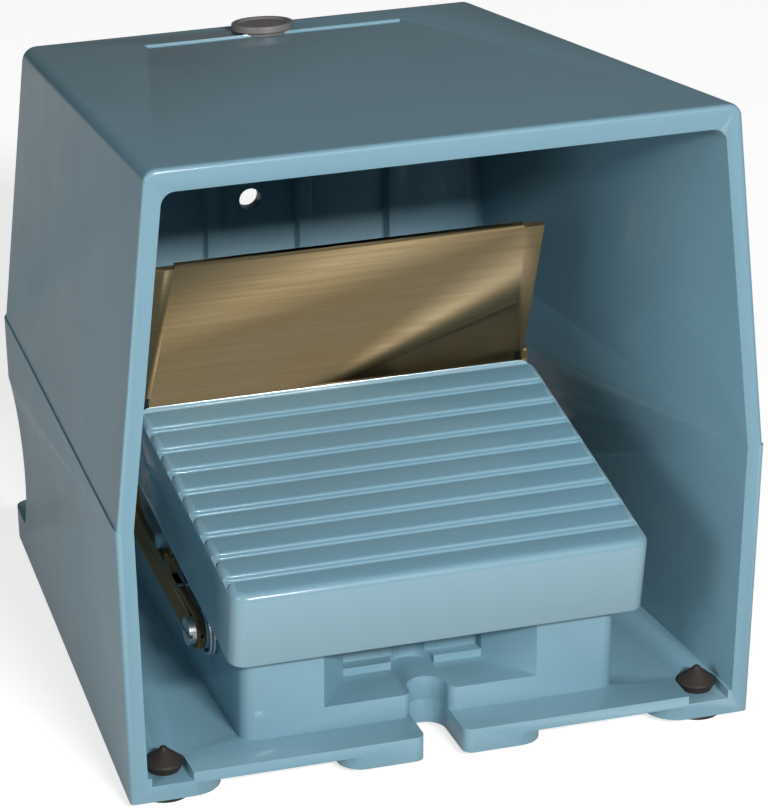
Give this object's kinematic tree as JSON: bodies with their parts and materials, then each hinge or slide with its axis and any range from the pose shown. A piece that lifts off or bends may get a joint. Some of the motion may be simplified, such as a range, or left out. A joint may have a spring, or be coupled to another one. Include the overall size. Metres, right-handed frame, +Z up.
{
  "type": "foot switch",
  "caption": "Industrial foot switch: a ribbed rocking pedal and a toe lever under a cast hood that is open at the front.",
  "frame": {"origin": "on the floor, midway between the hood's sides and midway between its front edge and its rear face, level with the undersides of the rubber feet", "axes": "+X to the right as the user's foot points in, +Y from the open front to the rear wall, +Z up"},
  "size_m": [0.1634, 0.161, 0.1627],
  "materials": {
    "cast_paint": "glossy blue-grey paint on cast light alloy",
    "yellow_zinc": "yellow zinc plated sheet steel",
    "steel": "bright zinc plated",
    "brass": "plain brass",
    "black_rubber": "matt rubber",
    "black_plastic": "moulded plastic",
    "white_plastic": "moulded plastic",
    "grey_cap": "semi-gloss moulded plastic"
  },
  "bodies": {
    "housing": {"hood": "cast_paint", "pole_socket_plug": "grey_cap", "foot_front_left": "black_rubber", "foot_front_right": "black_rubber", "foot_rear_left": "black_rubber", "foot_rear_right": "black_rubber", "base_housing": "cast_paint", "base_fixing_screws": "steel", "contact_plate": "steel", "contact_block_left": "black_plastic", "contact_block_right": "black_plastic", "block_screws": "steel", "terminal_screws": "brass", "earth_screw": "brass", "plunger_guide": "brass", "plunger_boot": "black_rubber", "chamber_gasket": "black_rubber", "chamber_lid": "cast_paint", "lid_screws": "steel", "entry_plug": "black_plastic", "entry_plug_ring": "black_rubber", "pedal_bush_left": "brass", "pedal_bush_right": "brass", "pedal_spring_left": "steel", "pedal_spring_right": "steel", "pedal_buffers": "black_rubber", "lever_screw_left": "steel", "lever_screw_right": "steel", "lever_springs": "steel"},
    "pedal": {"pedal": "cast_paint", "pedal_pin": "steel"},
    "toe_lever": {"toe_lever": "yellow_zinc"},
    "actuator": {"actuator_plunger": "steel", "actuator_bridge": "steel", "contact_plunger_left": "white_plastic", "contact_plunger_right": "white_plastic"}
  },
  "joints": [
    {"name": "pedal_press", "type": "hinge", "parent": "housing", "child": "pedal", "pos_m": [0, -0.0025, 0.05], "axis": [1, 0, 0], "range_deg": [0, 6], "stiffness_Nm_per_rad": 5, "springref_deg": -4.58, "deforming": ["pedal_spring_left", "pedal_spring_right"]},
    {"name": "toe_lever_push", "type": "hinge", "parent": "housing", "child": "toe_lever", "pos_m": [0, -0.0435, 0.0274], "axis": [-1, 0, 0], "range_deg": [0, 7], "stiffness_Nm_per_rad": 1, "springref_deg": -14.32, "deforming": ["lever_springs"]},
    {"name": "actuator_stroke", "type": "slide", "parent": "housing", "child": "actuator", "axis": [0, 0, -1], "range_m": [0, 0.0028], "deforming": ["plunger_boot"]}
  ],
  "couplings": [
    {"joint": "actuator_stroke", "follows": "pedal_press", "m_per_rad": 0.026}
  ]
}
